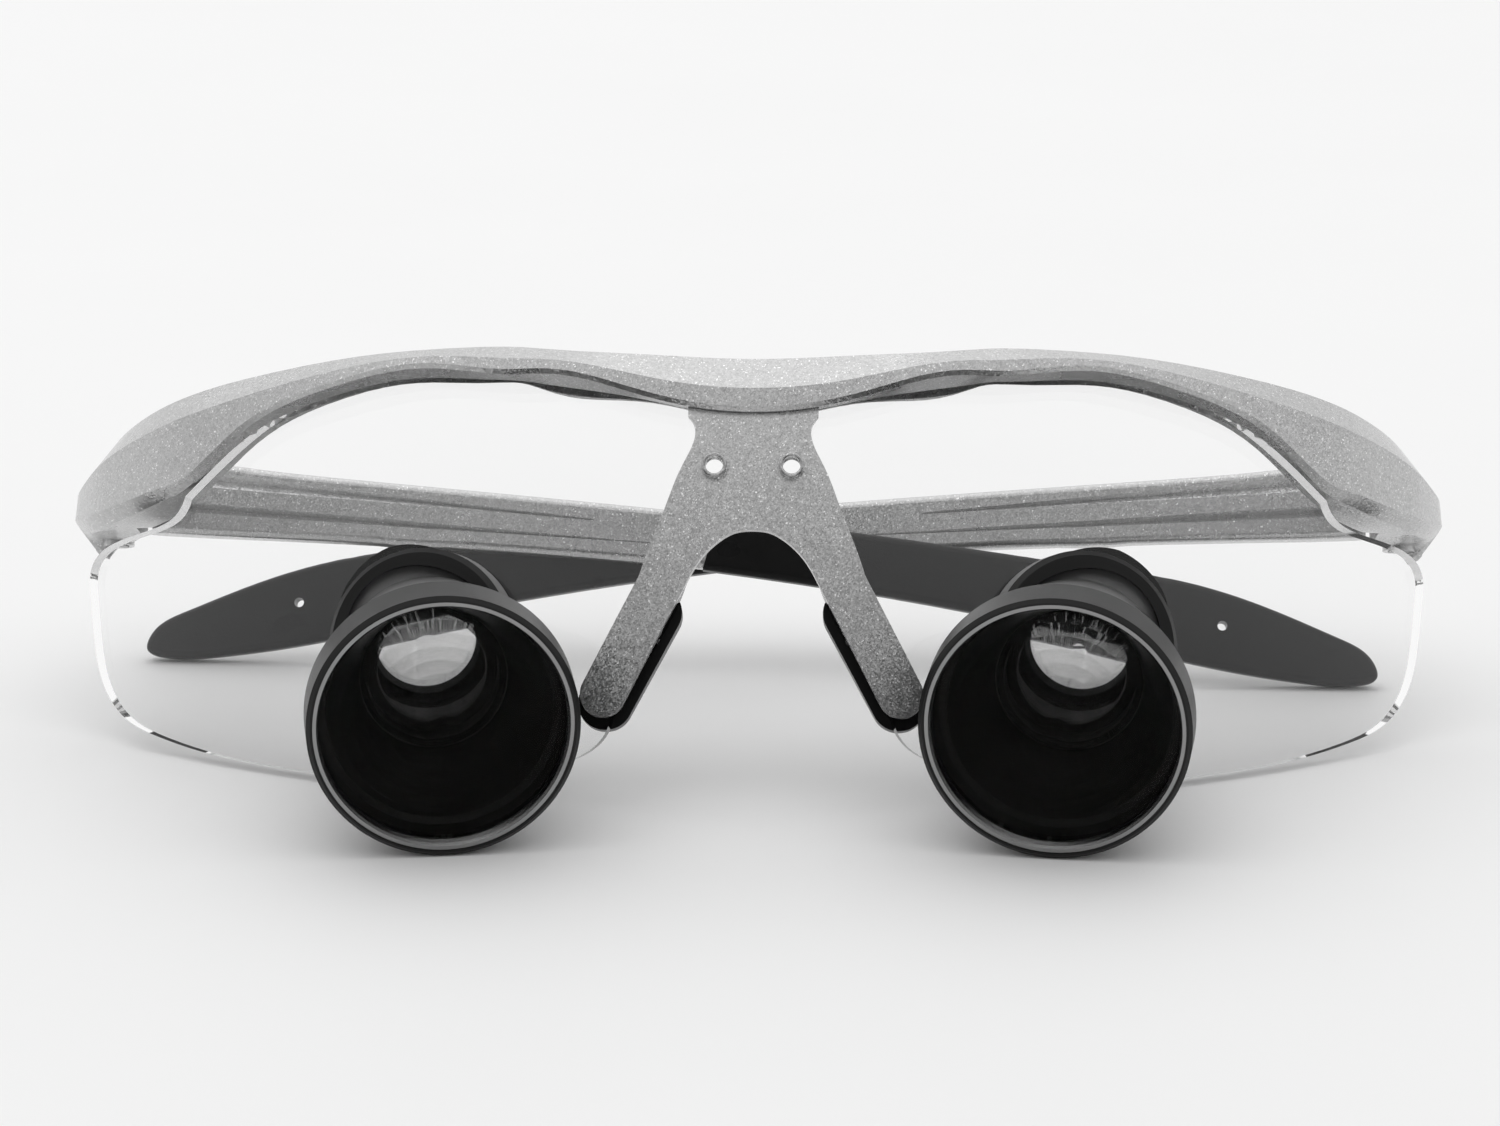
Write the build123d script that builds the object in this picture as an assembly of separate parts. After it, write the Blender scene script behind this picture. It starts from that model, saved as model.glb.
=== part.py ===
"""Dental loupes: two short telescopes set through the lenses of a half-rim sports frame.

Everything is drawn in the glasses' own axes: X to the wearer's left, Y from the front
towards the wearer, Z up, with the origin on the lens surface between the eyes.  At the
end each piece is tipped back into the pose in which the loupes lie on a table, on the
two front rims and the folded temple tips.  "right" and "left" are the wearer's.
"""
import os
from math import asin, atan, cos, degrees, radians, sin, sqrt, tan

from build123d import *

# Frame front
lens_radius = 115.0            # front surface of both carrier lenses, one common ball
lens_ball_z = -15.0            # height of the ball's centre
lens_thickness = 2.0
brow_lead = 1.0                # the brow stands this far in front of the lens ball
brow_thickness = 6.4
brow_bevel = 0.45
top_facet_depth = 2.8
wrap_start_x = 56.0            # from here the brow turns back into its lugs
wrap_radius = 28.0
wrap_end_angle = 86.0
lug_thickness = 7.2
groove_depth = 1.2             # how far the lens edge sits up into the brow
groove_gap = 0.08

# Hinges
hinge_x = 66.0
hinge_y = 37.0
hinge_low_z = -1.2             # the temple's knuckle, from its underside to its top
hinge_high_z = 1.9
hinge_gap = 0.1                # above and below the knuckle
knuckle_radius = 2.3
knuckle_clearance = 0.35
neck_inner = 0.8
neck_outer = 2.5
lug_behind_pin = 2.65
lug_inside_pin = 2.8
screw_radius = 0.8
screw_fit = 0.05
screw_head_radius = 1.3
screw_head_height = 0.8
screw_bottom_z = -4.4
screw_top_z = 3.1
insert_radius = 1.4
boss_radius = 1.9
boss_height = 0.5

# Temples
arm_length = 58.2              # silver part, from its butt face to the joint with the tip
temple_length = 127.8
butt_offset = 3.1              # from the hinge pin back to the temple's butt face
temple_offset = 2.8            # the temple lies this far outside the pin
butt_thickness = 3.4
joint_thickness = 2.5
end_thickness = 2.2
joint_slant = 2.4
temple_centre_z = 1.5
temple_edge_radius = 0.7
flute_depth = 0.7
core_width = 2.2
core_thickness = 1.0
core_length = 34.0
core_fit = 0.04
lanyard_hole_radius = 0.5
temple_fold = {"right": -0.5, "left": 2.7}   # how far short of square each temple lies
temple_droop = {"right": 4.78, "left": 3.3}   # each is bent to suit its wearer

# Nose plate and pads
plate_thickness = 1.4
plate_gap = 0.1
plate_slot_gap = 0.08
light_hole_x = 3.73
light_hole_z = -1.5
light_hole_radius = 0.85
leg_width = 4.4
pad_thickness = 3.4
pad_radius = 2.6
pad_gap = 0.1
pad_stud_radius = 1.0
pad_stud_fit = 0.05
pad_stud_grip = 0.8            # how far each stud reaches into the plate

# Loupes
eye_half_distance = 31.55
eye_z = -18.52
declination = 26.0
convergence = 8.94
loupe_reach = 23.2             # from the lens surface forward to the rim
rim_radius = 12.8
rim_length = 5.2
rim_bevel = 0.35
rim_wall = 0.55
neck_radius = 7.9
neck_wall = 0.8
barrel_wall = 1.0
taper_start = 3.2
barrel_tail = 2.6              # how far the barrel reaches behind the lens surface's front
objective_seat = 4.9           # from the rim back to the shoulder behind the objective
bezel_width = 0.55
bezel_depth = 1.5
glass_gap = 0.05
objective_crown_edge = 0.7
objective_flint_edge = 2.2
crown_front_radius = 90.0
cement_radius = 60.0
ocular_length = 12.5
ocular_tail = 4.6
ocular_wall = 0.7
eye_lens_edge = 2.0
eye_lens_centre = 1.0
eye_lens_radius = 5.6
eye_ring_length = 1.0
eye_ring_width = 0.9
baffle_thickness = 0.8
baffle_opening = 5.2
mount_ring_outer = 9.4
mount_ring_height = 2.6
mount_gap = 0.1

# Resting pose
rest_pitch = 24.0

sides = {"right": -1, "left": 1}


def smooth(points):
    """A smooth height curve through a few (x, z) points."""
    xs = [p[0] for p in points]
    zs = [p[1] for p in points]
    last = len(points) - 1
    slopes = []
    for i in range(len(points)):
        a, b = max(i - 1, 0), min(i + 1, last)
        slopes.append((zs[b] - zs[a]) / (xs[b] - xs[a]))

    def height(x):
        x = min(max(x, xs[0]), xs[-1])
        i = max(k for k in range(last) if xs[k] <= x)
        span = xs[i + 1] - xs[i]
        t = (x - xs[i]) / span
        start = zs[i] * (1 + 2 * t) * (1 - t) ** 2 + slopes[i] * span * t * (1 - t) ** 2
        end = zs[i + 1] * t * t * (3 - 2 * t) - slopes[i + 1] * span * t * t * (1 - t)
        return start + end

    return height


# Edges of the brow as seen square from the front, from the middle out to the lug
brow_top = smooth([(0, 9.4), (10, 9.8), (20, 10.7), (30, 11.1), (40, 10.7), (50, 9.5),
                   (56, 8.4), (61, 7.0), (66, 4.8), (69, 2.4), (71, 0.4)])
brow_crease = smooth([(0, 6.1), (6, 6.5), (11, 7.5), (19, 9.0), (33, 9.9), (42, 8.9),
                      (53, 6.6), (59, 5.0), (66, 2.6), (71, 0.2)])
brow_front_low = smooth([(0, 3.8), (6, 4.3), (12, 6.0), (20, 7.6), (33, 8.7), (39, 8.1),
                         (44, 6.7), (49, 4.8), (53, 1.8), (56.5, -1.4), (61, -2.9),
                         (66, -3.8), (71, -3.6)])
brow_lip = smooth([(0, 3.6), (12, 5.4), (20, 6.9), (33, 8.0), (39, 7.2), (44, 5.8),
                   (48, 4.0), (52, 1.0), (55, -1.6), (58, -2.9), (62, -3.6), (71, -3.9)])


def ball_depth(x, z, radius=lens_radius):
    """How far behind the origin the lens ball's surface is at a point seen from the front."""
    return lens_radius - sqrt(radius ** 2 - x ** 2 - (z - lens_ball_z) ** 2)


def shell(outer_gap, inner_gap):
    """The space between two balls about the lens ball's centre: gaps in front of its surface."""
    centre = Pos(0, lens_radius, lens_ball_z)
    return centre * (Sphere(lens_radius + outer_gap) - Sphere(lens_radius + inner_gap))


def front_prism(outline, depth=45.0):
    """A closed outline drawn in X and Z, run from front to back."""
    return Pos(0, -6, 0) * extrude(Plane.XZ * make_face(outline), amount=-depth)


def both_sides(shape, side):
    """A shape drawn on the wearer's left, or its mirror image on the right."""
    return shape if side == "left" else mirror(shape, Plane.YZ)


def brow_point(angle):
    """Where the brow's front runs, seen from above, at a heading in degrees."""
    a = radians(angle)
    turn = asin(wrap_start_x / lens_radius)
    if abs(a) <= turn:
        return lens_radius * sin(a), lens_radius * (1 - cos(a)) - brow_lead
    side = 1 if a > 0 else -1
    end = radians(wrap_end_angle)
    straight = max(abs(a) - end, 0) * 60
    a = min(abs(a), end)
    x = straight * cos(end) + wrap_start_x + wrap_radius * (sin(a) - sin(turn))
    y = straight * sin(end) + lens_radius * (1 - cos(turn)) - brow_lead + wrap_radius * (cos(turn) - cos(a))
    return side * x, y


def brow_section(angle):
    """One section of the brow, square to its run: bevel, front, top facet, back and lip."""
    x, y = brow_point(angle)
    a = radians(max(-wrap_end_angle, min(angle, wrap_end_angle)))
    share = min(max((abs(x) - 46) / 16, 0), 1)
    thick = brow_thickness + (lug_thickness - brow_thickness) * share

    def corner(depth, curve, rise=0.0):
        px, py = x - depth * sin(a), y + depth * cos(a)
        return Vector(px, py, curve(abs(px)) + rise)

    ridge = corner(top_facet_depth, brow_top)
    back_top = corner(thick - 0.7, brow_top)
    back_top.Z = ridge.Z - 0.4
    back = corner(thick, brow_top)
    back.Z = ridge.Z - 1.3 - 1.3 * share
    corners = [
        corner(brow_bevel + share, brow_front_low),
        corner(0.1, brow_front_low, brow_bevel + 0.8 * share),
        corner(0.3, brow_crease),
        ridge,
        back_top,
        back,
        corner(thick, brow_lip, 0.6),
        corner(thick - 0.9, brow_lip),
    ]
    return Face(Wire.make_polygon(corners, close=True))


# The carrier lens from the front, on the wearer's left: groove edge, notch, rim and nose
lens_top = [(x, brow_lip(x) + groove_depth) for x in (5, 12, 20, 33, 40, 46, 51, 54.5)]
lens_runs = [
    [*lens_top, (56.8, -2.2)],
    [(56.8, -2.2), (57.6, -3.9), (60, -5.2), (64, -6.2), (66.4, -7.8), (66.9, -10.6)],
    [(66.9, -10.6), (66.3, -15.6), (65.2, -20.4), (63.2, -23.6), (59.2, -26.1),
     (50, -29.1), (44, -30.3)],
    [(44, -30.3), (36, -31), (26, -31), (18.4, -30.1), (15, -28.4), (13.6, -26)],
    [(13.6, -26), (10.4, -20.4), (7.4, -15), (5.8, -10), (5.4, -3), lens_top[0]],
]


def lens_slice(level):
    """The lens's edge where its walls, square to the ball, cross a plane at this depth."""
    def spread(point):
        x, z = point
        share = (lens_radius - level) / (lens_radius - ball_depth(x, z))
        return Vector(x * share, level, lens_ball_z + (z - lens_ball_z) * share)

    return Face(Wire([Spline(*[spread(point) for point in run]) for run in lens_runs]))


def lens_block():
    """Everything inside the lens's edge, from well in front of the ball to behind it."""
    return loft([lens_slice(-6), lens_slice(36)], ruled=True)


def plate_outline():
    """The nose plate from the front: head, waist, two legs and the arch between them."""
    half = 0.5 * leg_width
    foot = (14.3, -23.6)
    knee = (8.9, -13.2)
    length = sqrt((foot[0] - knee[0]) ** 2 + (foot[1] - knee[1]) ** 2)
    nx, nz = (knee[1] - foot[1]) / length, (foot[0] - knee[0]) / length
    outer_foot = (foot[0] + half * nx, foot[1] + half * nz)
    outer_knee = (knee[0] + half * nx, knee[1] + half * nz)
    inner_foot = (foot[0] - half * nx, foot[1] - half * nz)
    inner_knee = (knee[0] - half * nx, knee[1] - half * nz)
    toe = (foot[0] + half * nz, foot[1] - half * nx)
    edges = []
    for s in (1, -1):
        def at(p):
            return (s * p[0], p[1])
        edges += [
            Line(at((0, 6.6)), at((6.3, 6.6))),
            Line(at((6.3, 6.6)), at((6.3, 3.5))),
            Spline(at((6.3, 3.5)), at((5.65, 2.4)), at((6.9, -1.6)), at((8.3, -5.2)),
                   at(outer_knee)),
            Line(at(outer_knee), at(outer_foot)),
            ThreePointArc(at(outer_foot), at(toe), at(inner_foot)),
            Line(at(inner_foot), at(inner_knee)),
            Spline(at(inner_knee), at((4.7, -10.3)), at((2.5, -8.4)), at((0, -7.8)),
                   tangents=[(s * (inner_knee[0] - inner_foot[0]), inner_knee[1] - inner_foot[1]),
                             (-s, 0)]),
        ]
    return edges


def pad_line():
    """Upper and lower centres of a nose pad's rounded ends, from the front."""
    return (9.4, -15.4), (14.1, -24.1)


def pad_studs():
    """Where a pad's two studs go through the lens into the plate."""
    (ax, az), (bx, bz) = pad_line()
    return [(ax + t * (bx - ax) + 0.7, az + t * (bz - az)) for t in (0.2, 0.75)]


def loupe_place(side):
    """A loupe's own axes: its Z runs forward along the sight line from the lens surface."""
    s = sides[side]
    x = s * eye_half_distance
    origin = (x, ball_depth(x, eye_z), eye_z)
    c, d = radians(convergence), radians(declination)
    forward = (-s * sin(c) * cos(d), -cos(c) * cos(d), -sin(d))
    return Plane(origin=origin, x_dir=(1, -s * tan(c), 0), z_dir=forward)


def turned(points):
    """A ring turned about the loupe's axis from (radius, reach) corners."""
    wire = Polyline(*[(r, 0, z) for r, z in points], close=True)
    return revolve(make_face(wire), Axis.Z)


def barrel():
    rim_back = loupe_reach - rim_length
    seat = loupe_reach - objective_seat
    bore = rim_radius - rim_wall
    chamber_back = loupe_reach - 15.0
    throat = neck_radius - neck_wall
    return turned([
        (bore, loupe_reach), (rim_radius - rim_bevel, loupe_reach),
        (rim_radius, loupe_reach - rim_bevel), (rim_radius, rim_back + 0.6),
        (rim_radius - 0.6, rim_back), (neck_radius + 0.3, taper_start),
        (neck_radius, taper_start - 0.6), (neck_radius, -barrel_tail),
        (throat, -barrel_tail), (throat, chamber_back),
        (rim_radius - 0.6 - barrel_wall - 0.5, rim_back),
        (bore - 0.9, seat), (bore, seat),
    ])


def ball_cap(radius, z_edge, edge_radius, convex=1):
    """A ball whose surface passes through the edge circle at this reach on the axis."""
    rise = sqrt(radius ** 2 - edge_radius ** 2)
    return Pos(0, 0, z_edge - convex * rise) * Sphere(radius)


def objective():
    """Crown and flint of the front doublet, cemented on one ball surface."""
    edge = rim_radius - rim_wall - glass_gap
    back = loupe_reach - objective_seat + glass_gap
    middle = back + objective_flint_edge
    front = middle + objective_crown_edge
    rod = Pos(0, 0, back - 1) * Cylinder(edge, 8, align=(Align.CENTER, Align.CENTER, Align.MIN))
    cement = ball_cap(cement_radius, middle, edge, convex=-1)
    crown = (rod & ball_cap(crown_front_radius, front, edge)) & cement
    flint = rod - cement
    flint = flint & Pos(0, 0, back) * Cylinder(edge, 6, align=(Align.CENTER, Align.CENTER, Align.MIN))
    flint = flint & Pos(0, 0, back) * Cylinder(edge, objective_flint_edge,
                                               align=(Align.CENTER, Align.CENTER, Align.MIN))
    return crown, flint


def bezel():
    bore = rim_radius - rim_wall - glass_gap
    inside = bore - bezel_width
    return turned([
        (bore, loupe_reach - 0.15), (inside + 0.2, loupe_reach - 0.15),
        (inside, loupe_reach - 0.45), (inside, loupe_reach - bezel_depth),
        (bore, loupe_reach - bezel_depth),
    ])


def ocular_housing():
    outer = neck_radius - neck_wall - glass_gap
    bore = outer - ocular_wall
    front = ocular_length - ocular_tail
    flange = outer + 0.5
    return turned([
        (bore, front), (outer, front), (outer, -barrel_tail - 0.1),
        (flange, -barrel_tail - 0.1), (flange, -ocular_tail + 0.3),
        (flange - 0.3, -ocular_tail), (bore, -ocular_tail),
    ])


def ocular_bore():
    return neck_radius - neck_wall - glass_gap - ocular_wall


def baffle():
    bore = ocular_bore() - glass_gap
    middle = 0.5 * (ocular_length - ocular_tail) + 1.0
    return turned([
        (bore, middle), (bore, middle + baffle_thickness),
        (baffle_opening + 0.1, middle + baffle_thickness), (baffle_opening, middle),
    ])


def eye_lens_back():
    return -ocular_tail + eye_ring_length + 0.3


def eye_lens():
    edge = ocular_bore() - glass_gap
    back = eye_lens_back()
    rod = Pos(0, 0, back) * Cylinder(edge, eye_lens_edge,
                                     align=(Align.CENTER, Align.CENTER, Align.MIN))
    sag = 0.5 * (eye_lens_edge - eye_lens_centre)
    ball = (edge ** 2 + sag ** 2) / (2 * sag)
    front = Pos(0, 0, back + eye_lens_edge - sag + ball) * Sphere(ball)
    rear = Pos(0, 0, back + sag - ball) * Sphere(ball)
    return rod - front - rear


def eye_ring():
    bore = ocular_bore() - glass_gap
    front = eye_lens_back() - glass_gap
    return turned([
        (bore, front), (bore, front - eye_ring_length),
        (bore - eye_ring_width - 0.4, front - eye_ring_length),
        (bore - eye_ring_width, front),
    ])


def spacer_ring():
    """Holds the objective off its shoulder and cuts stray light."""
    bore = rim_radius - rim_wall - glass_gap
    seat = loupe_reach - bezel_depth - glass_gap
    front = loupe_reach - objective_seat + objective_flint_edge + objective_crown_edge
    return turned([
        (bore, seat), (bore - bezel_width, seat),
        (bore - bezel_width, front + 3 * glass_gap), (bore, front + 3 * glass_gap),
    ])


def mount_ring(side):
    """The collar that beds the barrel on the carrier lens, square to the lens surface."""
    s = sides[side]
    x = s * eye_half_distance
    y = ball_depth(x, eye_z)
    centre = Vector(0, lens_radius, lens_ball_z)
    foot = Vector(x, y, eye_z)
    out = (foot - centre).normalized()
    plane = Plane(origin=foot - out * 1.0, z_dir=(out.X, out.Y, out.Z))
    ring = plane * Cylinder(mount_ring_outer, mount_ring_height + 1.0,
                            align=(Align.CENTER, Align.CENTER, Align.MIN))
    ring = chamfer(ring.edges().filter_by(GeomType.CIRCLE).sort_by(Axis.Y)[0], 0.5)
    ring = ring - Pos(0, lens_radius, lens_ball_z) * Sphere(lens_radius + plate_gap / 2)
    return ring - loupe_place(side) * barrel_clearance(mount_gap)


def barrel_clearance(gap):
    """The barrel's outside grown by a gap, as a solid to cut with."""
    rim_back = loupe_reach - rim_length
    return turned([
        (0, rim_back), (rim_radius - 0.6 + gap, rim_back),
        (neck_radius + 0.3 + gap, taper_start), (neck_radius + gap, taper_start - 0.6),
        (neck_radius + gap, -8), (0, -8),
    ])


def carrier_lens(side):
    lens = both_sides(lens_block() & shell(0, -lens_thickness), side)
    lens = lens - loupe_place(side) * barrel_clearance(mount_gap)
    for x, z in pad_studs():
        lens = lens - front_pin(sides[side] * x, z, pad_stud_radius + pad_stud_fit, -5, 12)
    return lens


def front_pin(x, z, radius, start, length):
    """A round pin running from front to back."""
    return Pos(x, start, z) * Rot(-90, 0, 0) * Cylinder(
        radius, length, align=(Align.CENTER, Align.CENTER, Align.MIN))


def nose_plate():
    front = plate_gap + plate_thickness
    plate = front_prism(plate_outline()) & shell(front, plate_gap)
    for s in sides.values():
        x = s * light_hole_x
        plate = plate - front_pin(x, light_hole_z, light_hole_radius, -4, 8)
        for px, pz in pad_studs():
            y = ball_depth(px, pz) - plate_gap - pad_stud_grip
            plate = plate - front_pin(s * px, pz, pad_stud_radius + pad_stud_fit, y, 4)
    return plate


def nose_pad(side):
    s = sides[side]
    (ax, az), (bx, bz) = pad_line()
    length = sqrt((bx - ax) ** 2 + (bz - az) ** 2)
    slot = Plane.XZ * Pos((ax + bx) / 2, (az + bz) / 2) * Rot(
        0, 0, degrees(atan((bz - az) / (bx - ax)))) * SlotCenterToCenter(length, 2 * pad_radius)
    front = lens_thickness + pad_gap
    body = extrude(slot, amount=-(front + pad_thickness + 1.2))
    body = body & shell(-front, -front - pad_thickness - 8)
    body = fillet(body.edges().filter_by(GeomType.LINE).sort_by(Axis.Y)[-2:], 1.3)
    for x, z in pad_studs():
        start = ball_depth(x, z) - plate_gap - pad_stud_grip + pad_stud_fit
        body = body + front_pin(x, z, pad_stud_radius, start, lens_thickness + 2.6)
    return both_sides(body, side)


def hinge_axis_cylinder(radius, low, high):
    return Pos(hinge_x, hinge_y, low) * Cylinder(
        radius, high - low, align=(Align.CENTER, Align.CENTER, Align.MIN))


def box_between(low, high):
    size = [b - a for a, b in zip(low, high)]
    return Pos(*low) * Box(*size, align=(Align.MIN, Align.MIN, Align.MIN))


def brow_frame():
    angles = [3, 7, 11, 15, 18.5, 22, 24.5, 27, 31, 37, 44, 52, 61, 72, wrap_end_angle,
              wrap_end_angle + 5]
    run = [-a for a in reversed(angles)] + [0] + angles
    brow = loft([brow_section(a) for a in run])
    plate_slot = front_prism(plate_outline()) & shell(
        plate_gap + plate_thickness + plate_slot_gap, plate_gap - plate_slot_gap)
    brow = brow - plate_slot
    groove = lens_block() & shell(groove_gap, -lens_thickness - groove_gap)
    rear = hinge_y + lug_behind_pin
    corner = box_between((50, hinge_y, -12), (hinge_x, 60, 20))
    lug_cuts = [
        groove,
        box_between((50, rear, -12), (90, 60, 20)),
        box_between((50, hinge_y - 9, -12), (hinge_x - lug_inside_pin, 60, 20)),
        corner - hinge_axis_cylinder(lug_behind_pin, -20, 30),
        box_between((50, hinge_y - knuckle_radius - knuckle_clearance, hinge_low_z - hinge_gap),
                    (hinge_x + neck_outer + knuckle_clearance, 60, hinge_high_z + hinge_gap)),
        hinge_axis_cylinder(screw_radius + screw_fit, -8, screw_top_z + 0.3),
        hinge_axis_cylinder(screw_head_radius + screw_fit, -8, screw_bottom_z + screw_head_height),
        hinge_axis_cylinder(insert_radius, hinge_high_z + hinge_gap, screw_top_z + 0.3),
    ]
    for side in sides:
        boss = hinge_axis_cylinder(boss_radius, screw_bottom_z + 0.1, hinge_low_z - hinge_gap - 1)
        brow = brow + both_sides(boss, side)
        for cut in lug_cuts:
            brow = brow - both_sides(cut, side)
    return brow


def hinge_screw(side):
    shaft = hinge_axis_cylinder(screw_radius, screw_bottom_z + screw_head_height, screw_top_z)
    head = hinge_axis_cylinder(screw_head_radius, screw_bottom_z, screw_bottom_z + screw_head_height)
    slot = Pos(hinge_x, hinge_y, screw_bottom_z) * Box(3, 0.5, 0.7)
    return both_sides(shaft + head - slot, side)


def hinge_insert(side):
    tube = hinge_axis_cylinder(insert_radius, hinge_high_z + hinge_gap, screw_top_z + 0.3)
    bore = hinge_axis_cylinder(screw_radius + screw_fit, hinge_high_z, screw_top_z + 1)
    return both_sides(tube - bore, side)


# A temple's edges from the side.  The first number is the share of the way along the arm,
# or along the tip from the joint to its end, and the second is the height.
arm_top = [(-0.07, 4.1), (0, 4.0), (0.17, 3.5), (0.41, 3.25), (0.74, 3.1), (1.08, 2.75)]
arm_bottom = [(-0.07, -4.1), (0, -4.1), (0.17, -3.75), (0.41, -3.2), (0.74, -2.75),
              (1.08, -2.8)]
tip_edge = [(-0.06, 2.87), (0.17, 2.45), (0.36, 1.75), (0.54, 1.0), (0.715, 0.0),
            (0.845, -2.2), (0.938, -4.4), (0.991, -6.7), (0.997, -8.1), (0.968, -9.1),
            (0.902, -9.35), (0.816, -9.0), (0.715, -8.2), (0.543, -6.3), (0.356, -4.7),
            (0.17, -3.6), (-0.06, -2.75)]


def along_arm(points):
    return [(share * arm_length, height) for share, height in points]


def along_tip(points):
    return [(arm_length + share * (temple_length - arm_length), height)
            for share, height in points]


def temple_frame(side):
    """Temple axes as drawn (X back along it, Y inward, Z up, pin at 0) in folded place."""
    turn = 180 - temple_fold[side]
    return Pos(hinge_x, hinge_y, 0) * Rot(0, 0, turn)


def side_solid(edges):
    """A temple outline seen from the side, thick enough to be cut to its plan shape."""
    face = Plane.XZ * make_face(edges)
    return Pos(butt_offset, 20, temple_centre_z) * extrude(face, amount=40)


def plan_solid(start, end, start_thickness, end_thickness):
    """The temple seen from above, tapering evenly from one thickness to another."""
    a, b = 0.5 * start_thickness, 0.5 * end_thickness
    over = 0.12
    first, last = start - over * (end - start), end + over * (end - start)
    slope = (b - a) / (end - start)
    near, far = a + slope * (first - start), b + slope * (last - end)
    face = make_face(Polyline((first, near), (last, far), (last, -far), (first, -near),
                              close=True))
    return Pos(butt_offset, -temple_offset, -20) * extrude(face, amount=40)


def rounded_edges(shape, shortest):
    """Rounds the long edges that run along a temple's two faces."""
    long_edges = [edge for edge in shape.edges()
                  if edge.length > shortest and abs(edge.tangent_at(0.5).Y) < 0.5]
    return fillet(long_edges, temple_edge_radius)


def droop(shape, side):
    pivot = Pos(butt_offset, 0, temple_centre_z)
    return pivot * Rot(0, temple_droop[side], 0) * pivot.inverse() * shape


def joint_plane_cut(keep_front):
    """Everything on one side of the slanted joint between a silver arm and its black tip."""
    low, high = (arm_length - joint_slant, -12), (arm_length + joint_slant, 12)
    far = -30 if keep_front else temple_length + 20
    return side_solid([Polyline(low, high, (far, 12), (far, -12), close=True)])


def core_rod(fit=0.0):
    """The flat steel core that joins a tip to its arm."""
    half = 0.5 * core_length + fit
    return Pos(butt_offset + arm_length, -temple_offset, temple_centre_z - 0.1) * Box(
        2 * half, core_thickness + 2 * fit, core_width + 2 * fit)


def flute(u0, u1, z0, z1, height0, height1):
    """A long groove on a temple's inner face that runs out to a point."""
    start = Plane(origin=(butt_offset + u0, -temple_offset + 0.5 * butt_thickness, z0 + temple_centre_z),
                  x_dir=(0, 1, 0), z_dir=(1, 0, 0))
    end = Plane(origin=(butt_offset + u1, -temple_offset + 0.5 * joint_thickness + 0.1,
                        z1 + temple_centre_z),
                x_dir=(0, 1, 0), z_dir=(1, 0, 0))
    a = start * make_face(Polyline((-flute_depth, 0), (0.3, 0.5 * height0),
                                   (0.3, -0.5 * height0), close=True))
    b = end * make_face(Polyline((-0.12, 0), (0.2, 0.5 * height1),
                                 (0.2, -0.5 * height1), close=True))
    return loft([a, b])


def temple_arm(side):
    top, bottom = along_arm(arm_top), along_arm(arm_bottom)
    outline = [Spline(*top), Line(top[-1], bottom[-1]), Spline(*reversed(bottom)),
               Line(bottom[0], top[0])]
    arm = side_solid(outline) & plan_solid(0, arm_length, butt_thickness, joint_thickness)
    arm = rounded_edges(arm, 20)
    arm = arm & joint_plane_cut(True)
    for cut in (flute(2, 46, 1.9, 1.2, 2.6, 0.5), flute(2, 52, -1.2, -0.7, 1.8, 0.5)):
        arm = arm - cut
    arm = arm - core_rod(core_fit)
    arm = droop(arm, side)
    arm = arm & box_between((butt_offset, -20, -40), (200, 20, 40))
    neck = box_between((0, -neck_outer, hinge_low_z), (butt_offset + 1.4, neck_inner, hinge_high_z))
    knuckle = Pos(0, 0, hinge_low_z) * Cylinder(
        knuckle_radius, hinge_high_z - hinge_low_z, align=(Align.CENTER, Align.CENTER, Align.MIN))
    pin_hole = Pos(0, 0, -10) * Cylinder(screw_radius + screw_fit, 20,
                                         align=(Align.CENTER, Align.CENTER, Align.MIN))
    arm = arm + neck + knuckle - pin_hole
    return place_temple(arm, side)


def temple_tip(side):
    edge = along_tip(tip_edge)
    tip = side_solid([Spline(*edge), Line(edge[-1], edge[0])]) & plan_solid(
        arm_length, temple_length, joint_thickness, end_thickness)
    tip = rounded_edges(tip, 20)
    tip = tip & joint_plane_cut(False)
    tip = tip - core_rod(core_fit)
    hole = Pos(butt_offset + 111.4, 0, temple_centre_z - 4.2) * Rot(90, 0, 0) * Cylinder(
        lanyard_hole_radius, 40)
    return place_temple(droop(tip - hole, side), side)


def temple_core(side):
    return place_temple(droop(core_rod(), side), side)


def place_temple(shape, side):
    """Fold a temple drawn for the wearer's left side and put it on its hinge."""
    return both_sides(temple_frame(side) * shape, side)


def to_rest(shape):
    """Tip a finished piece back by the resting pitch."""
    return Rot(-rest_pitch, 0, 0) * shape


def build():
    """Every piece by its node name, in the glasses' own axes."""
    pieces = {"brow_frame": brow_frame(), "nose_plate": nose_plate()}
    crown, flint = objective()
    for side in sides:
        place = loupe_place(side)
        pieces |= {
            f"{side}_carrier_lens": carrier_lens(side),
            f"{side}_nose_pad": nose_pad(side),
            f"{side}_hinge_screw": hinge_screw(side),
            f"{side}_hinge_insert": hinge_insert(side),
            f"{side}_temple_arm": temple_arm(side),
            f"{side}_temple_tip": temple_tip(side),
            f"{side}_temple_core": temple_core(side),
            f"{side}_mount_ring": mount_ring(side),
            f"{side}_barrel": place * barrel(),
            f"{side}_objective_crown": place * crown,
            f"{side}_objective_flint": place * flint,
            f"{side}_objective_spacer": place * spacer_ring(),
            f"{side}_objective_bezel": place * bezel(),
            f"{side}_ocular_housing": place * ocular_housing(),
            f"{side}_baffle": place * baffle(),
            f"{side}_eye_lens": place * eye_lens(),
            f"{side}_eye_ring": place * eye_ring(),
        }
    return pieces


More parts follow.
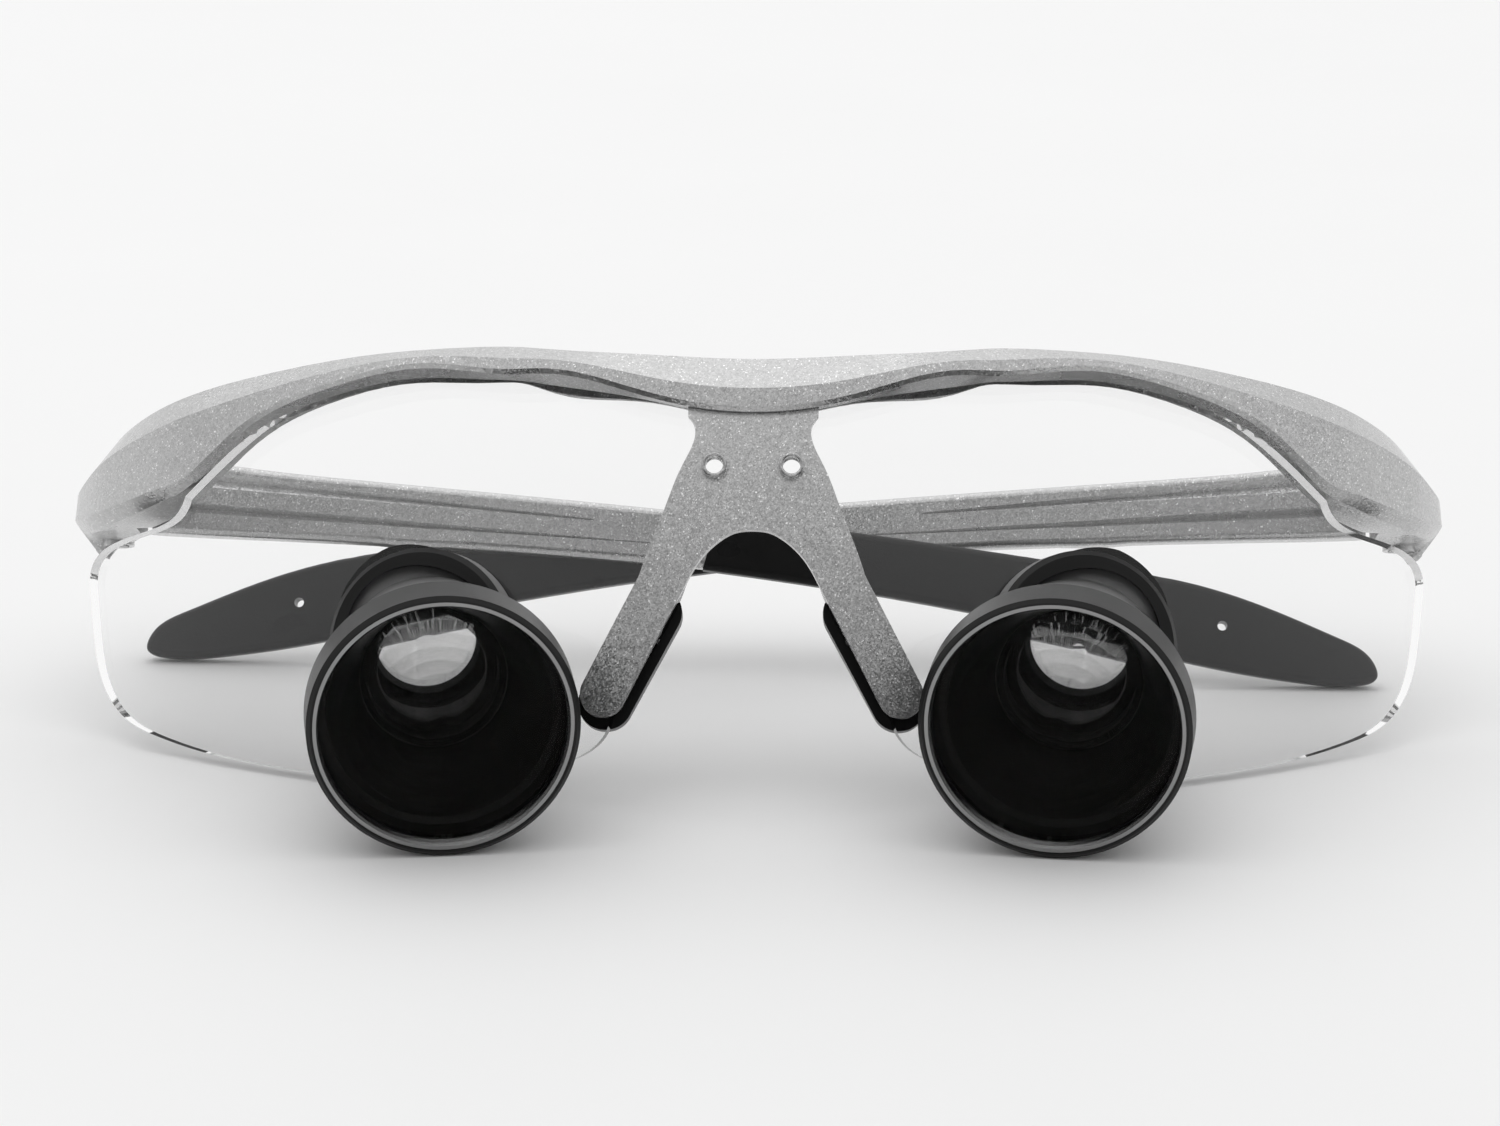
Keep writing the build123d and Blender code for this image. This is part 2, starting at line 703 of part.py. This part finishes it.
os.makedirs("parts", exist_ok=True)
pieces = {name: to_rest(shape) for name, shape in build().items()}
boxes = [shape.bounding_box() for shape in pieces.values()]
floor_z = min(box.min.Z for box in boxes)
middle_y = 0.5 * (min(box.min.Y for box in boxes) + max(box.max.Y for box in boxes))
stand = Pos(0, -middle_y, -floor_z)
for name, shape in pieces.items():
    export_step(stand * shape, f"parts/{name}.step")
    box = (stand * shape).bounding_box()
    print(name, round(shape.volume, 2), len(shape.solids()),
          [round(v, 2) for v in (*box.min, *box.max)])
print("stand", middle_y, floor_z)
print("hinge", [tuple((stand * Rot(-rest_pitch, 0, 0) * Pos(hinge_x, hinge_y, z)).position) for z in (0, 1)])
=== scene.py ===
import math

import bmesh
import bpy
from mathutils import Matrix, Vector


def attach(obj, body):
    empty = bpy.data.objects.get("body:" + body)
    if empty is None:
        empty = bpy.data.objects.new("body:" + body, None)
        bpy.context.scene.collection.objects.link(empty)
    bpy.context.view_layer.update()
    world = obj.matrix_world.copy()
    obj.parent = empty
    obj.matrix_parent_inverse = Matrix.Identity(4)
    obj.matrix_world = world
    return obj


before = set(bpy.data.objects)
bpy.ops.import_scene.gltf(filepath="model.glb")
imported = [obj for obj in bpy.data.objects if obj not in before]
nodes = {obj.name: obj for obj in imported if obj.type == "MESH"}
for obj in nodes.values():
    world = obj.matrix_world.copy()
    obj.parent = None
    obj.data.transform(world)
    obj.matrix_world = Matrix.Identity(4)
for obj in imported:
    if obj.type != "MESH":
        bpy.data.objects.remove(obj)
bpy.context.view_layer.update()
print("frame loaded:", len(nodes), "CAD nodes")

mm = 0.001
wearerSides = {"right": -1, "left": 1}

# The part lies tipped forward by restPitch. bridge is the point on the lens surface
# between the eyes, from which the glasses' own millimetres are counted.
restPitch = math.radians(24)
bridge = Vector((0, -6.075, 32.513))


def toWorld(x, y, z):  # from the glasses' own millimetres to metres in the frame
    c, s = math.cos(restPitch), math.sin(restPitch)
    return (Vector((x, y * c + z * s, -y * s + z * c)) + bridge) * mm


def newGroup(name, inputs, outputs):
    # a shader node group: inputs as (name, type, value), outputs as (name, type)
    tree = bpy.data.node_groups.new(name, "ShaderNodeTree")
    for socketName, kind, value in inputs:
        made = tree.interface.new_socket(
            socketName, in_out="INPUT", socket_type="NodeSocket" + kind)
        made.default_value = value
    for socketName, kind in outputs:
        tree.interface.new_socket(socketName, in_out="OUTPUT", socket_type="NodeSocket" + kind)
    return tree, tree.nodes.new("NodeGroupInput"), tree.nodes.new("NodeGroupOutput")


def addNode(tree, kind, links=None, **settings):
    # a node with its settings, each socket fed by a value or by another socket
    node = tree.nodes.new(kind)
    for name, value in settings.items():
        setattr(node, name, value)
    for name, value in (links or {}).items():
        socket = node.inputs[name]
        if isinstance(value, bpy.types.NodeSocket):
            tree.links.new(value, socket)
        else:
            socket.default_value = value
    return node


def addMath(tree, operation, first, second=0.0):
    return addNode(tree, "ShaderNodeMath", {0: first, 1: second}, operation=operation).outputs[0]


def addRamp(tree, source, stops, interpolation="LINEAR"):
    ramp = addNode(tree, "ShaderNodeValToRGB", {"Fac": source})
    ramp.color_ramp.interpolation = interpolation
    marks = ramp.color_ramp.elements
    while len(marks) < len(stops):
        marks.new(0.5)
    for mark, (place, level) in zip(marks, stops):
        mark.position = place
        mark.color = (level, level, level, 1)
    return ramp.outputs["Color"]


def addMix(tree, share, first, second):
    mix = addNode(tree, "ShaderNodeMix", data_type="RGBA")
    for socket, value in ((mix.inputs[0], share), (mix.inputs[6], first), (mix.inputs[7], second)):
        if isinstance(value, bpy.types.NodeSocket):
            tree.links.new(value, socket)
        else:
            socket.default_value = value
    return mix.outputs[2]


def newMaterial(name):
    material = bpy.data.materials.new(name)
    material.use_nodes = True
    tree = material.node_tree
    return material, tree, tree.nodes["Principled BSDF"]


def grey(level):
    return (level, level, level, 1)


def useGroup(tree, group, **values):
    node = addNode(tree, "ShaderNodeGroup", node_tree=group)
    for name, value in values.items():
        socket = node.inputs[name]
        if isinstance(value, bpy.types.NodeSocket):
            tree.links.new(value, socket)
        else:
            socket.default_value = value
    return node.outputs


# Fine surface grain: a bump for moulded and anodised surfaces, and a slow mottle
def makeGrainGroup():
    tree, given, out = newGroup(
        "surfaceGrain",
        [("Size mm", "Float", 0.3), ("Depth", "Float", 0.2), ("Mottle mm", "Float", 6.0)],
        [("Mottle", "Float"), ("Grain", "Float"), ("Normal", "Vector")])
    place = addNode(tree, "ShaderNodeTexCoord").outputs["Object"]
    fine = addNode(tree, "ShaderNodeTexNoise", {
        "Vector": place, "Scale": addMath(tree, "DIVIDE", 1000.0, given.outputs["Size mm"]),
        "Detail": 3.0, "Roughness": 0.6}).outputs["Fac"]
    slow = addNode(tree, "ShaderNodeTexNoise", {
        "Vector": place, "Scale": addMath(tree, "DIVIDE", 1000.0, given.outputs["Mottle mm"]),
        "Detail": 4.0}).outputs["Fac"]
    bump = addNode(tree, "ShaderNodeBump", {
        "Strength": given.outputs["Depth"], "Distance": 0.00005, "Height": fine})
    tree.links.new(slow, out.inputs["Mottle"])
    tree.links.new(fine, out.inputs["Grain"])
    tree.links.new(bump.outputs["Normal"], out.inputs["Normal"])
    return tree


# Metal flakes in clear paint: every flake has its own shade and its own tilt
def makeFlakeGroup():
    tree, given, out = newGroup(
        "paintFlakes",
        [("Flake mm", "Float", 0.2), ("Tilt", "Float", 0.4), ("Contrast", "Float", 0.3)],
        [("Shade", "Color"), ("Sparkle", "Float"), ("Normal", "Vector")])
    place = addNode(tree, "ShaderNodeTexCoord").outputs["Object"]
    count = addMath(tree, "DIVIDE", 1000.0, given.outputs["Flake mm"])
    cells = addNode(tree, "ShaderNodeTexVoronoi", {"Vector": place, "Scale": count})
    split = addNode(tree, "ShaderNodeSeparateColor", {"Color": cells.outputs["Color"]})
    coarse = addNode(tree, "ShaderNodeTexVoronoi", {
        "Vector": place, "Scale": addMath(tree, "MULTIPLY", count, 0.45)})
    coarseSplit = addNode(tree, "ShaderNodeSeparateColor", {"Color": coarse.outputs["Color"]})
    mixed = addMath(tree, "ADD", addMath(tree, "MULTIPLY", split.outputs["Red"], 0.6),
                    addMath(tree, "MULTIPLY", coarseSplit.outputs["Red"], 0.4))
    low = addMath(tree, "SUBTRACT", 1.0, given.outputs["Contrast"])
    shade = addMath(tree, "ADD", low, addMath(
        tree, "MULTIPLY", mixed, addMath(tree, "MULTIPLY", given.outputs["Contrast"], 2.0)))
    centred = addNode(tree, "ShaderNodeVectorMath", {
        0: cells.outputs["Color"], 1: (0.5, 0.5, 0.5)}, operation="SUBTRACT").outputs[0]
    lean = addNode(tree, "ShaderNodeVectorMath", {
        0: centred, "Scale": given.outputs["Tilt"]}, operation="SCALE").outputs[0]
    normal = addNode(tree, "ShaderNodeNewGeometry").outputs["Normal"]
    tipped = addNode(tree, "ShaderNodeVectorMath", {0: normal, 1: lean}, operation="ADD").outputs[0]
    tipped = addNode(tree, "ShaderNodeVectorMath", {0: tipped}, operation="NORMALIZE").outputs[0]
    sparkle = addRamp(tree, split.outputs["Green"], [(0.95, 0.0), (0.99, 0.7)])
    tree.links.new(shade, out.inputs["Shade"])
    tree.links.new(sparkle, out.inputs["Sparkle"])
    tree.links.new(tipped, out.inputs["Normal"])
    return tree


grainGroup = makeGrainGroup()
flakeGroup = makeFlakeGroup()

silverPaint = {"flakeMm": 0.12, "tilt": 0.24, "contrast": 0.2, "shade": 0.47, "metal": 0.95,
               "roughness": 0.28, "coat": 0.35, "coatRoughness": 0.12}


def makeSilverPaint(name, look):
    material, tree, shader = newMaterial(name)
    flakes = useGroup(tree, flakeGroup, **{"Flake mm": look["flakeMm"], "Tilt": look["tilt"],
                                           "Contrast": look["contrast"]})
    grain = useGroup(tree, grainGroup, **{"Size mm": 0.6, "Depth": 0.25, "Mottle mm": 9.0})
    base = addMix(tree, flakes["Sparkle"], grey(look["shade"]), grey(0.95))
    tinted = addNode(tree, "ShaderNodeMix", data_type="RGBA", blend_type="MULTIPLY")
    tinted.inputs[0].default_value = 1.0
    tree.links.new(base, tinted.inputs[6])
    tree.links.new(flakes["Shade"], tinted.inputs[7])
    tree.links.new(tinted.outputs[2], shader.inputs["Base Color"])
    shader.inputs["Metallic"].default_value = look["metal"]
    rough = addMath(tree, "ADD", look["roughness"] - 0.05,
                    addMath(tree, "MULTIPLY", grain["Mottle"], 0.1))
    tree.links.new(rough, shader.inputs["Roughness"])
    tree.links.new(flakes["Normal"], shader.inputs["Normal"])
    shader.inputs["Coat Weight"].default_value = look["coat"]
    shader.inputs["Coat Roughness"].default_value = look["coatRoughness"]
    return material


clearLens = {"shade": 0.985, "ior": 1.45, "roughness": 0.0}


def makeClearLens(name, look):
    material, tree, shader = newMaterial(name)
    smudge = useGroup(tree, grainGroup, **{"Size mm": 2.5, "Depth": 0.0, "Mottle mm": 14.0})
    rough = addRamp(tree, smudge["Mottle"], [(0.45, look["roughness"]), (0.8, 0.02)])
    tree.links.new(rough, shader.inputs["Roughness"])
    shader.inputs["Base Color"].default_value = grey(look["shade"])
    shader.inputs["Transmission Weight"].default_value = 1.0
    shader.inputs["IOR"].default_value = look["ior"]
    return material


# the coated elements hardly reflect at all
opticalGlass = {"shade": 0.97, "ior": 1.06}


def makeOpticalGlass(name, look):
    material, tree, shader = newMaterial(name)
    dust = useGroup(tree, grainGroup, **{"Size mm": 0.9, "Depth": 0.0, "Mottle mm": 5.0})
    rough = addRamp(tree, dust["Grain"], [(0.6, 0.0), (0.9, 0.03)])
    tree.links.new(rough, shader.inputs["Roughness"])
    shader.inputs["Base Color"].default_value = grey(look["shade"])
    shader.inputs["Transmission Weight"].default_value = 1.0
    shader.inputs["IOR"].default_value = look["ior"]
    return material


blackAnodised = {"shade": 0.01, "roughness": 0.34, "grainMm": 0.12, "depth": 0.25,
                 "specular": 0.22}
tubeBlack = {"shade": 0.003, "roughness": 0.6, "grainMm": 0.15, "depth": 0.3, "specular": 0.2}
blackRubber = {"shade": 0.008, "roughness": 0.3, "grainMm": 0.3, "depth": 0.25, "specular": 0.14}


def makeDarkSolid(name, look):
    material, tree, shader = newMaterial(name)
    grain = useGroup(tree, grainGroup, **{
        "Size mm": look["grainMm"], "Depth": look["depth"], "Mottle mm": 7.0})
    shade = addMix(tree, grain["Mottle"], grey(look["shade"] * 0.7), grey(look["shade"] * 1.3))
    tree.links.new(shade, shader.inputs["Base Color"])
    rough = addMath(tree, "ADD", look["roughness"] - 0.08,
                    addMath(tree, "MULTIPLY", grain["Mottle"], 0.16))
    tree.links.new(rough, shader.inputs["Roughness"])
    tree.links.new(grain["Normal"], shader.inputs["Normal"])
    shader.inputs["Specular IOR Level"].default_value = look["specular"]
    return material


brightSteel = {"shade": 0.6, "roughness": 0.28}
turnedRing = {"shade": 0.3, "roughness": 0.22}   # the bezel inside each rim


def makeBrightSteel(name, look):
    material, tree, shader = newMaterial(name)
    grain = useGroup(tree, grainGroup, **{"Size mm": 0.1, "Depth": 0.2, "Mottle mm": 2.0})
    shade = addMix(tree, grain["Mottle"], grey(look["shade"] * 0.8), grey(look["shade"]))
    tree.links.new(shade, shader.inputs["Base Color"])
    shader.inputs["Metallic"].default_value = 1.0
    tree.links.new(addMath(tree, "ADD", look["roughness"] - 0.05, addMath(
        tree, "MULTIPLY", grain["Grain"], 0.1)), shader.inputs["Roughness"])
    tree.links.new(grain["Normal"], shader.inputs["Normal"])
    return material


finishes = {
    "silver": makeSilverPaint("silverPaint", silverPaint),
    "lens": makeClearLens("clearLens", clearLens),
    "optic": makeOpticalGlass("opticalGlass", opticalGlass),
    "anodised": makeDarkSolid("blackAnodised", blackAnodised),
    "tube": makeDarkSolid("tubeBlack", tubeBlack),
    "rubber": makeDarkSolid("blackRubber", blackRubber),
    "steel": makeBrightSteel("brightSteel", brightSteel),
    "ring": makeBrightSteel("turnedRing", turnedRing),
}
nodeFinish = {
    "brow_frame": "silver", "nose_plate": "silver", "temple_arm": "silver",
    "carrier_lens": "lens", "nose_pad": "rubber", "temple_tip": "rubber",
    "hinge_screw": "steel", "hinge_insert": "steel", "temple_core": "steel",
    "mount_ring": "anodised", "barrel": "anodised", "objective_bezel": "ring",
    "objective_spacer": "tube", "ocular_housing": "tube", "baffle": "tube", "eye_ring": "tube",
    "objective_crown": "optic", "objective_flint": "optic", "eye_lens": "optic",
}
for name, node in nodes.items():
    kind = name.split("_", 1)[1] if name.split("_")[0] in wearerSides else name
    node.data.materials.clear()
    node.data.materials.append(finishes[nodeFinish[kind]])
print("materials on", len(nodes), "nodes")

# a raised lip round each of the two small light holes in the nose plate
holeLip = {"x": 3.73, "z": -1.5, "bore": 0.86, "width": 0.34, "rise": 0.22, "plateFront": 1.5,
           "sunk": 0.05, "sides": 64, "profile": 8}


def makeHoleLip(side, look):
    mesh = bpy.data.meshes.new(side + "_holeLip")
    shape = bmesh.new()
    x = wearerSides[side] * look["x"]
    rows = []
    for i in range(look["sides"]):
        turn = 2 * math.pi * i / look["sides"]
        row = []
        for k in range(look["profile"]):
            bend = math.pi * k / (look["profile"] - 1)
            radius = look["bore"] + look["width"] * 0.5 * (1 - math.cos(bend))
            rise = look["rise"] * math.sin(bend) - look["sunk"]
            row.append(shape.verts.new(toWorld(
                x + radius * math.cos(turn), -look["plateFront"] - rise,
                look["z"] + radius * math.sin(turn))))
        rows.append(row)
    for i, row in enumerate(rows):
        after = rows[(i + 1) % len(rows)]
        for k in range(look["profile"]):
            last = (k + 1) % look["profile"]
            shape.faces.new((row[k], row[last], after[last], after[k]))
    bmesh.ops.recalc_face_normals(shape, faces=shape.faces)
    for face in shape.faces:
        face.smooth = True
    shape.to_mesh(mesh)
    shape.free()
    lip = bpy.data.objects.new(side + "_holeLip", mesh)
    bpy.context.collection.objects.link(lip)
    mesh.materials.append(finishes["silver"])
    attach(lip, "front")


for side in wearerSides:
    makeHoleLip(side, holeLip)
print("light hole lips made")

studio = {"floorSize": 6.0, "floorShade": 0.86, "mottle": 0.01, "front": 0.14, "back": 0.97,
          "overhead": 2.5, "overheadSize": 1.3}


def makeFloor(look):
    # pale paper sweep, far larger than the view
    half = look["floorSize"] / 2
    mesh = bpy.data.meshes.new("paperFloor")
    shape = bmesh.new()
    corners = [shape.verts.new((x, y, 0)) for x, y in
               ((-half, -half), (half, -half), (half, half), (-half, half))]
    shape.faces.new(corners)
    shape.to_mesh(mesh)
    shape.free()
    floor = bpy.data.objects.new("paperFloor", mesh)
    bpy.context.collection.objects.link(floor)
    material, tree, shader = newMaterial("palePaper")
    grain = useGroup(tree, grainGroup, **{"Size mm": 0.8, "Depth": 0.05, "Mottle mm": 60.0})
    shade = addMix(tree, grain["Mottle"], grey(look["floorShade"] - look["mottle"]),
                   grey(look["floorShade"] + look["mottle"]))
    tree.links.new(shade, shader.inputs["Base Color"])
    shader.inputs["Roughness"].default_value = 0.6
    shader.inputs["Specular IOR Level"].default_value = 0.2
    mesh.materials.append(material)


makeFloor(studio)


def addSoftLight(name, place, target, size, power):
    data = bpy.data.lights.new(name, "AREA")
    data.shape = "SQUARE"
    data.size = size
    data.energy = power
    light = bpy.data.objects.new(name, data)
    light.location = place
    aim = Vector(target) - Vector(place)
    light.rotation_euler = aim.to_track_quat("-Z", "Y").to_euler()
    bpy.context.collection.objects.link(light)


def makeStudioWalls(look):
    # white walls above and behind, and a dimmer room in front
    world = bpy.data.worlds.new("studioWalls")
    world.use_nodes = True
    tree = world.node_tree
    heading = addNode(tree, "ShaderNodeTexCoord").outputs["Generated"]
    split = addNode(tree, "ShaderNodeSeparateXYZ", {"Vector": heading}).outputs
    share = addMath(tree, "ADD", addMath(tree, "MULTIPLY", split["Y"], 0.4),
                    addMath(tree, "MULTIPLY", split["Z"], 0.4))
    level = addRamp(tree, addMath(tree, "ADD", share, 0.5),
                    [(0.15, look["front"]), (0.6, look["back"])])
    tree.links.new(level, tree.nodes["Background"].inputs["Color"])
    bpy.context.scene.world = world


makeStudioWalls(studio)
addSoftLight("overheadBox", (-0.12, 0.35, 0.9), (0, 0, 0.02),
             studio["overheadSize"], studio["overhead"])
bpy.context.scene.view_settings.view_transform = "Standard"
print("studio ready")

# both points are counted from the bridge point, in millimetres
photoCamera = {"place": (7.02, -487.94, 128.73), "target": (-0.48, 11.86, -14.60),
               "focalPixels": 5226.4, "imageWidth": 1500}


def addCamera(look):
    data = bpy.data.cameras.new("photoCamera")
    data.sensor_fit = "HORIZONTAL"
    data.sensor_width = 36.0
    data.lens = 36.0 * look["focalPixels"] / look["imageWidth"]
    data.clip_start = 0.01
    data.clip_end = 20.0
    camera = bpy.data.objects.new("photoCamera", data)
    place, target = ((Vector(look[key]) + bridge) * mm for key in ("place", "target"))
    camera.location = place
    camera.rotation_euler = (target - place).to_track_quat("-Z", "Y").to_euler()
    bpy.context.collection.objects.link(camera)
    bpy.context.scene.camera = camera


addCamera(photoCamera)
